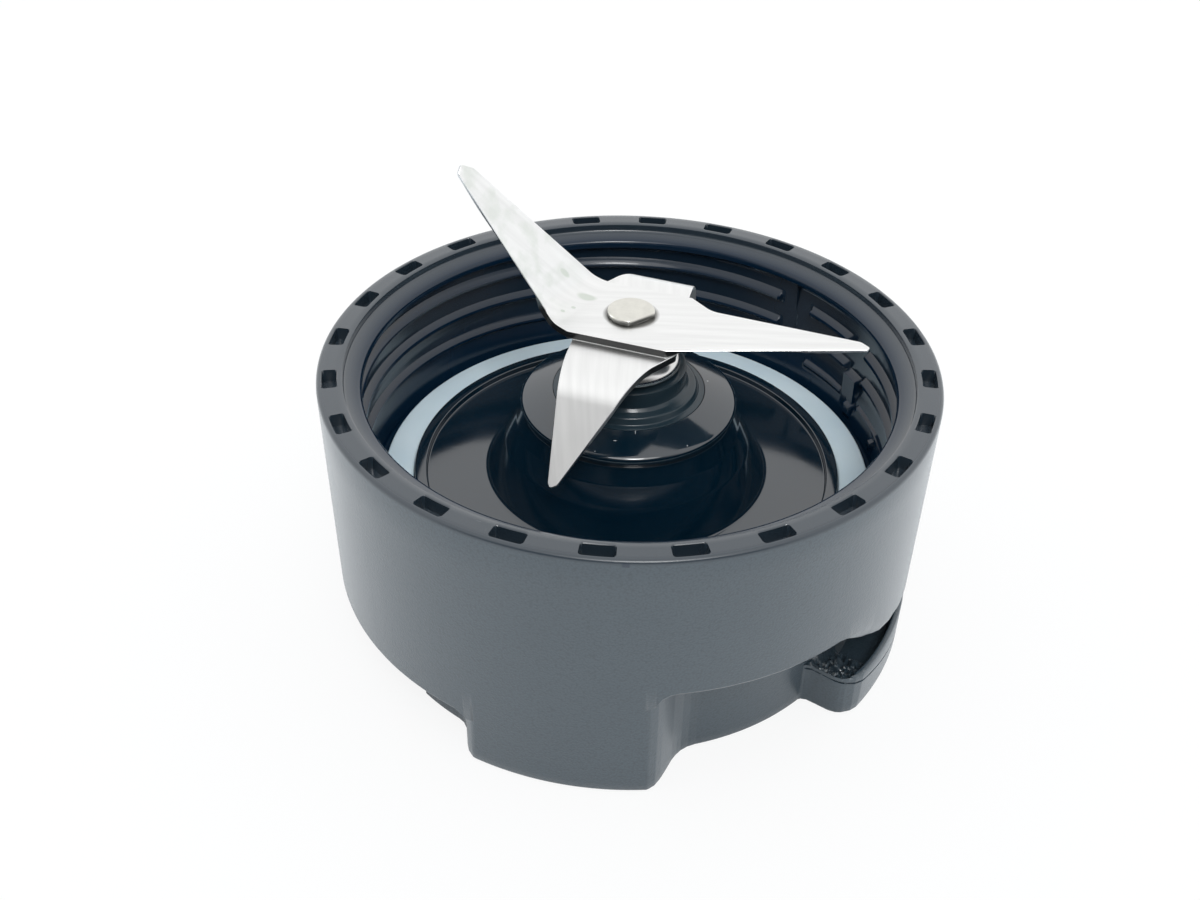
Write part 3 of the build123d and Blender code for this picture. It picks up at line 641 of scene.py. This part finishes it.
# The lower blade is stamped from stainless sheet, with both wings bent down and their leading edges
# ground from below. Its hole has two flats, which lock it on the shaft.
BLADE_T, EDGE_SOFT, BEVEL_W, BEVEL_EDGE = 1.2, 0.08, 2.0, 0.15
BEVEL_ROOT_RUN, BEVEL_TIP_RUN, TIP_RUN, TIP_T, BEND_STEPS = 3.0, 14.0, 12.0, 0.4, 28
LOWER_FOLD, LOWER_START, LOWER_FOLD_R, LOWER_BEND = -108.4, 10.9, 8.0, -50.0
LOWER_WING = [
    (6.4, -6.5, 0.0), (30.6, -3.0, 0.8), (31.35, -2.5, 0.8), (30.7, -1.5, 0.8), (19.0, 3.7, 2.0),
    (10.8, 6.9, 3.0), (6.4, 9.1, 1.0),
]
BLADE_STEEL = (0.93, 0.935, 0.93)


def opposite(corners):
    return [(-x, -y, radius) for x, y, radius in corners]


def turned_plan(corners, degrees):
    c, s = math.cos(math.radians(degrees)), math.sin(math.radians(degrees))
    return [(x * c - y * s, x * s + y * c, radius) for x, y, radius in corners]


def folded(x, y, lift, bend):
    """Where a point of the flat sheet goes when the sheet is bent along its fold."""
    fold, start, radius, angle = bend
    c, s = math.cos(math.radians(fold)), math.sin(math.radians(fold))
    out, side = x * c + y * s, y * c - x * s
    if out <= start:
        return x, y, lift
    way = math.copysign(1.0, angle)
    middle = radius + BLADE_T / 2
    bent = min((out - start) / middle, math.radians(abs(angle)))
    rest = out - start - bent * middle
    arc = middle - way * lift
    reach = start + arc * math.sin(bent) + rest * math.cos(bent)
    rise = way * (middle - arc * math.cos(bent) + rest * math.sin(bent))
    return reach * c - side * s, reach * s + side * c, rise


def ground_share(spot, edges):
    """One on a ground edge, fading towards its root and its tip, and zero elsewhere."""
    for root, tip in edges:
        root, tip = Vector(root[:2]), Vector(tip[:2])
        run = tip - root
        t = (spot - root).dot(run) / run.length_squared
        if 0.0 <= t <= 1.0 and (spot - root - run * t).length < 0.3:
            to_tip = smooth((1.0 - t) * run.length / BEVEL_TIP_RUN)
            return to_tip * smooth(t * run.length / BEVEL_ROOT_RUN)
    return 0.0


def finer(outline, gap=1.5):
    """The outline with points added along its longer sides."""
    pts = []
    for i, spot in enumerate(outline):
        run = outline[(i + 1) % len(outline)] - spot
        count = max(1, round(run.length / gap))
        pts += [spot + run * (n / count) for n in range(count)]
    return pts


def blade_mesh(name, corners, bends, top_h, ground):
    """A sheet cut to an outline, eased or ground and thinned from below, and bent over its folds."""
    outline = finer([Vector(p) for p in rounded(corners)])
    count = len(outline)
    tips = [Vector(tip[:2]) for root, tip in ground]
    rings = [[], [], [], []]
    for i, spot in enumerate(outline):
        run = (outline[(i + 1) % count] - outline[i - 1]).normalized()
        inward = Vector((-run.y, run.x))
        bevel = ground_share(spot, ground)
        half = BLADE_T / 2
        thin = smooth(1.0 - min((spot - tip).length for tip in tips) / TIP_RUN)
        under = thin * (BLADE_T - TIP_T) - half
        low = under + EDGE_SOFT + bevel * (half - BEVEL_EDGE - EDGE_SOFT - under)
        rings[0].append((spot + inward * EDGE_SOFT, half))
        rings[1].append((spot, half - EDGE_SOFT))
        rings[2].append((spot, low))
        rings[3].append((spot + inward * (EDGE_SOFT + bevel * (BEVEL_W - EDGE_SOFT)), under))
    bm = bmesh.new()
    cut = bm.faces.layers.float.new("cut")
    loops = [[bm.verts.new((p.x, p.y, z)) for p, z in ring] for ring in rings]
    bm.faces.new(loops[0])
    bm.faces.new(reversed(loops[3]))
    for upper, lower in zip(loops, loops[1:]):
        for i in range(count):
            j = (i + 1) % count
            face = bm.faces.new((upper[i], lower[i], lower[j], upper[j]))
            face[cut] = 1.0 if upper is loops[1] else 0.0
    for fold, start, radius, angle in bends:
        aim = Vector((math.cos(math.radians(fold)), math.sin(math.radians(fold)), 0.0))
        length = (radius + BLADE_T / 2) * math.radians(abs(angle))
        for n in range(BEND_STEPS + 1):
            everything = bm.verts[:] + bm.edges[:] + bm.faces[:]
            line = aim * (start + length * n / BEND_STEPS)
            bmesh.ops.bisect_plane(bm, geom=everything, plane_co=line, plane_no=aim)
    bmesh.ops.triangulate(bm, faces=[f for f in bm.faces if len(f.verts) > 4])
    flat = bm.loops.layers.uv.new("flat")
    for face in bm.faces:
        for loop in face.loops:
            loop[flat].uv = (loop.vert.co.x * MM, loop.vert.co.y * MM)
    for vert in bm.verts:
        spot = tuple(vert.co)
        for bend in bends:
            spot = folded(*spot, bend)
        vert.co = Vector((spot[0], spot[1], spot[2] + top_h - BLADE_T / 2)) * MM
    mesh = bpy.data.meshes.new(name)
    bm.to_mesh(mesh)
    bm.free()
    return mesh


lower_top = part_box("lower_blade")[1].z / MM
lower_corners = turned_plan(LOWER_WING + opposite(LOWER_WING), LOWER_FOLD)
lower_bends = [(LOWER_FOLD + turn, LOWER_START, LOWER_FOLD_R, LOWER_BEND) for turn in (0.0, 180.0)]
lower_ground = [(lower_corners[0], lower_corners[1]), (lower_corners[7], lower_corners[8])]
lower_mesh = blade_mesh("lower_blade_sheet", lower_corners, lower_bends, lower_top, lower_ground)
lower_blade = placed(lower_mesh, 30.0)
lower_mesh.materials.append(steel("blade_steel", BLADE_STEEL, 0.3, True, (1.0, 0.06, 1.0))[0])
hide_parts("lower_blade")
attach(lower_blade, "rotor")

# The upper blade is of the same sheet and lies on the lower one. Its right wing is flat, and the
# left wing is bent up. Food stains cloud the raised wing and the place by the fold.
UPPER_FRONT_LEFT, UPPER_LEAD_ROOT, UPPER_TRAIL_ROOT = (-9.2, -5.3, 0.6), (5.0, -9.8, 2.0), (12.0, 1.6, 4.0)
UPPER_FLAT_TIP = [(34.1, -7.85, 0.4), (34.5, -7.1, 0.5), (33.4, -5.7, 1.0)]
UPPER_BENT_LEAD, UPPER_BENT_TRAIL = (2.7, -9.1, 4.0), (13.4, 1.0, 5.0)
UPPER_BENT_TIP = [(34.75, -9.15, 0.8), (36.9, -8.2, 0.6), (36.7, -6.7, 0.6)]
UPPER_BEND = (144.6, 6.5, 3.65, 66.5)
STAIN, RIVET_PAINTED_SHADE = (0.69, 0.735, 0.68), (0.26, 0.26, 0.25)
STAIN_SPOTS = [
    (-7.0, 4.2, 2.0, 0.9), (-10.4, -0.1, 0.5, 0.35), (-8.8, 1.2, 0.5, 0.35), (-12.5, 6.0, 1.4, 0.6),
]


def stained_steel():
    mat, tree, bsdf, place = steel("upper_blade_steel", BLADE_STEEL, 0.3, True, (0.06, 1.0, 1.0))
    clean = bsdf.inputs["Base Color"].links[0].from_socket
    wing = share(tree, along_axis(tree, place, "X"), -8.0 * MM, -14.0 * MM)
    blots = ramp(tree, clouds(tree, place, 240.0, 6.0), [(0.48, 0.0), (0.62, 0.5)])
    clouded = maths(tree, "MAXIMUM", maths(tree, "MULTIPLY", blots, wing), ovals(tree, place, STAIN_SPOTS))
    stained = mixed(tree, clouded, clean, STAIN)
    # The blade is darkened in a ring round the rivet head: painted shade of the head.
    rivet_shade = share(tree, vector_length(tree, place), 4.3 * MM, 3.7 * MM)
    tree.links.new(mixed(tree, rivet_shade, stained, RIVET_PAINTED_SHADE), bsdf.inputs["Base Color"])
    return mat


upper_top = lower_top + BLADE_T
upper_corners = [UPPER_FRONT_LEFT, UPPER_LEAD_ROOT, *UPPER_FLAT_TIP, UPPER_TRAIL_ROOT]
upper_corners += opposite([UPPER_FRONT_LEFT, UPPER_BENT_LEAD, *UPPER_BENT_TIP, UPPER_BENT_TRAIL])
upper_ground = [(upper_corners[a], upper_corners[b]) for a, b in ((1, 2), (7, 8), (11, 10))]
upper_mesh = blade_mesh("upper_blade_sheet", upper_corners, [UPPER_BEND], upper_top, upper_ground)
upper_blade = placed(upper_mesh, 30.0)
upper_mesh.materials.append(stained_steel())
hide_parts("upper_blade")
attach(upper_blade, "rotor")

# The drive shaft is turned steel. Its top is peened over the blades into a low round head with one
# flat side, and its lower end carries the coupling.
shaft_low, shaft_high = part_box("drive_shaft")
SHAFT_R, SHAFT_END_R, SHAFT_STEP_H = 4.0, 3.0, 12.0
SHAFT_LOW, HEAD_TOP = shaft_low.z / MM, shaft_high.z / MM
HEAD_R, HEAD_LOW, HEAD_FLAT, HEAD_FLAT_AZ = 3.55, upper_top, 2.7, 37.5
SHAFT_STEEL = (0.80, 0.79, 0.73)


def riveted_steel():
    mat, tree, bsdf, place = steel("shaft_steel", SHAFT_STEEL, 0.34)
    bright = bsdf.inputs["Base Color"].links[0].from_socket
    # The head's side below its rounded top is darkened: painted shade.
    shaded_flank = share(tree, along_axis(tree, place, "Z"), (HEAD_TOP - 0.25) * MM, (HEAD_TOP - 0.55) * MM)
    tree.links.new(mixed(tree, shaded_flank, bright, RIVET_PAINTED_SHADE), bsdf.inputs["Base Color"])
    return mat


def shaft_profile(angle):
    """Half-profile of the shaft, with the head's radius held in at its flat."""
    off = math.cos(math.radians(angle - HEAD_FLAT_AZ))
    head = min(HEAD_R, HEAD_FLAT / off) if off > 0.1 else HEAD_R
    return rounded([
        (0.0, SHAFT_LOW, 0.0), (SHAFT_END_R, SHAFT_LOW, 0.3), (SHAFT_END_R, SHAFT_STEP_H, 0.0),
        (SHAFT_R, SHAFT_STEP_H, 0.2),
        (SHAFT_R, CAP_TOP - CAP_T, 0.0), (SPIGOT_R, CAP_TOP - CAP_T, 0.0), (SPIGOT_R, HEAD_LOW, 0.0),
        (head, HEAD_LOW, 0.1), (head, HEAD_TOP - 0.12, 0.45), (0.0, HEAD_TOP, 0.0),
    ])


head_turns = [2.5 * n for n in range(144)]
shaft = placed(ring_mesh("drive_shaft_turned", [shaft_profile(a) for a in head_turns], head_turns), 40.0)
shaft.data.materials.append(riveted_steel())
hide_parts("drive_shaft")
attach(shaft, "rotor")

# The bearings, spacers, clips, screws and coupling are hidden inside the boss and under the floor.
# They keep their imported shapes, and each has the finish of its own metal or plastic.
HIDDEN = {
    "bearing_steel": ((0.72, 0.72, 0.71), 0.18, [
        "upper_bearing_outer_race", "upper_bearing_inner_race", "upper_bearing_balls",
        "lower_bearing_outer_race", "lower_bearing_inner_race", "lower_bearing_balls"]),
    "spring_steel": ((0.30, 0.29, 0.28), 0.38, ["bearing_circlip", "shaft_clip"]),
    "screw_steel": ((0.62, 0.61, 0.58), 0.3, ["hub_screws"]),
    "spacer_aluminium": ((0.78, 0.79, 0.80), 0.4, ["bearing_spacer", "shaft_sleeve", "coupling_washer"]),
    "sleeve_steel": ((0.74, 0.74, 0.73), 0.22, ["seal_sleeve"]),
    "insert_steel": ((0.55, 0.54, 0.52), 0.36, ["coupling_insert"]),
}
COUPLING_BLACK, COUPLING_PALE = (0.012, 0.013, 0.014), (0.03, 0.031, 0.032)


def coupling_plastic():
    mat, tree, bsdf = shader("coupling_plastic")
    place = object_place(tree)
    cloud = clouds(tree, place, 150.0)
    black = ramp(tree, cloud, [(0.3, COUPLING_BLACK), (0.8, COUPLING_PALE)])
    tree.links.new(black, bsdf.inputs["Base Color"])
    tree.links.new(ramp(tree, cloud, [(0.3, 0.38), (0.8, 0.5)]), bsdf.inputs["Roughness"])
    bumped(tree, bsdf, clouds(tree, place, 1400.0), 0.2, 0.05 * MM)
    return mat


def finish_node(name, mat):
    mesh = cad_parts[name].data
    mesh.materials.clear()
    mesh.materials.append(mat)


for finish, (colour, rough, names) in HIDDEN.items():
    metal = steel(finish, colour, rough)[0]
    for name in names:
        finish_node(name, metal)
finish_node("drive_coupling", coupling_plastic())

# The floor is a wide white sheet of card that runs back as one sweep with the backdrop. It is nearly
# as white as the backdrop to the camera, and what is left of its own shading shows the shadow.
FLOOR_HALF, FLOOR_WHITE, CARD = 6.0, 0.86, (0.90, 0.93, 0.95, 1.0)
floor_corners = [(-FLOOR_HALF, -FLOOR_HALF, 0.0), (FLOOR_HALF, -FLOOR_HALF, 0.0)]
floor_corners += [(FLOOR_HALF, FLOOR_HALF, 0.0), (-FLOOR_HALF, FLOOR_HALF, 0.0)]
floor_mesh = bpy.data.meshes.new("white_floor")
floor_mesh.from_pydata(floor_corners, [], [(0, 1, 2, 3)])
floor_obj = bpy.data.objects.new("white_floor", floor_mesh)
bpy.context.scene.collection.objects.link(floor_obj)
floor_obj.location.z = -0.2 * MM
floor_mat, floor_tree, floor_bsdf = shader("white_floor")
floor_bsdf.inputs["Base Color"].default_value = CARD
floor_bsdf.inputs["Roughness"].default_value = 1.0
floor_bsdf.inputs["Specular IOR Level"].default_value = 0.0
floor_seen = node(floor_tree, "ShaderNodeLightPath").outputs["Is Camera Ray"]
floor_white = node(floor_tree, "ShaderNodeEmission")
floor_share = maths(floor_tree, "MULTIPLY", floor_seen, FLOOR_WHITE)
floor_mix = node(floor_tree, "ShaderNodeMixShader", {
    0: floor_share, 1: floor_bsdf.outputs[0], 2: floor_white.outputs[0]}).outputs[0]
floor_tree.links.new(floor_mix, floor_tree.nodes["Material Output"].inputs["Surface"])
floor_mesh.materials.append(floor_mat)

# The studio is white behind, beside and above the object, half as bright high in front, and dim in
# front below that. A soft lamp with a brighter middle hangs high in front, a little to the right.
SWEEP, SWEEP_FRONT, SWEEP_SOFT, DIM = 1.0, -0.55, 0.2, 0.08
HIGH, HIGH_FROM, HIGH_TO = 0.5, 0.5, 0.78
LAMPS = {"softbox": (0.7, 40.0), "softbox_middle": (0.6, 14.0)}
LAMP_TILT, LAMP_SIDE = 38.0, 8.0
world = bpy.data.worlds.new("studio")
bpy.context.scene.world = world
world.use_nodes = True
sky = world.node_tree
way = node(sky, "ShaderNodeTexCoord").outputs["Generated"]
behind = share(sky, along_axis(sky, way, "Y"), SWEEP_FRONT - SWEEP_SOFT, SWEEP_FRONT + SWEEP_SOFT)
above = maths(sky, "MULTIPLY", share(sky, along_axis(sky, way, "Z"), HIGH_FROM, HIGH_TO), HIGH)
lit = maths(sky, "MAXIMUM", behind, above)
light = node(sky, "ShaderNodeMapRange", {"Value": lit, "To Min": DIM, "To Max": SWEEP}).outputs[0]
seen = node(sky, "ShaderNodeLightPath").outputs["Is Camera Ray"]
backdrop = sky.nodes["Background"]
sky.links.new(mixed(sky, seen, light, (1.0, 1.0, 1.0)), backdrop.inputs["Color"])
backdrop.inputs["Strength"].default_value = 1.0
for name, (strength, spread) in LAMPS.items():
    lamp_data = bpy.data.lights.new(name, "SUN")
    lamp_data.energy = strength
    lamp_data.angle = math.radians(spread)
    lamp = bpy.data.objects.new(name, lamp_data)
    bpy.context.scene.collection.objects.link(lamp)
    lamp.rotation_euler = (math.radians(LAMP_TILT), math.radians(LAMP_SIDE), 0.0)

# The camera stands where the photograph was taken from: in front of the object and above it, with a
# slight roll. Its place and its angles were fitted to the photograph.
CAMERA_PLACE, CAMERA_ANGLES = (0.0, -178.80, 159.55), (53.3709, -0.9078, 2.0285)
camera_data = bpy.data.cameras.new("camera")
camera_data.lens = 42.0
camera_data.sensor_width = 36.0
camera_data.sensor_fit = "HORIZONTAL"
camera_data.clip_start = 0.01
camera = bpy.data.objects.new("camera", camera_data)
bpy.context.scene.collection.objects.link(camera)
camera_turn = Euler([math.radians(angle) for angle in CAMERA_ANGLES])
camera.matrix_world = Matrix.LocRotScale(Vector(CAMERA_PLACE) * MM, camera_turn, None)
bpy.context.scene.camera = camera

bpy.context.scene.view_settings.view_transform = "Standard"
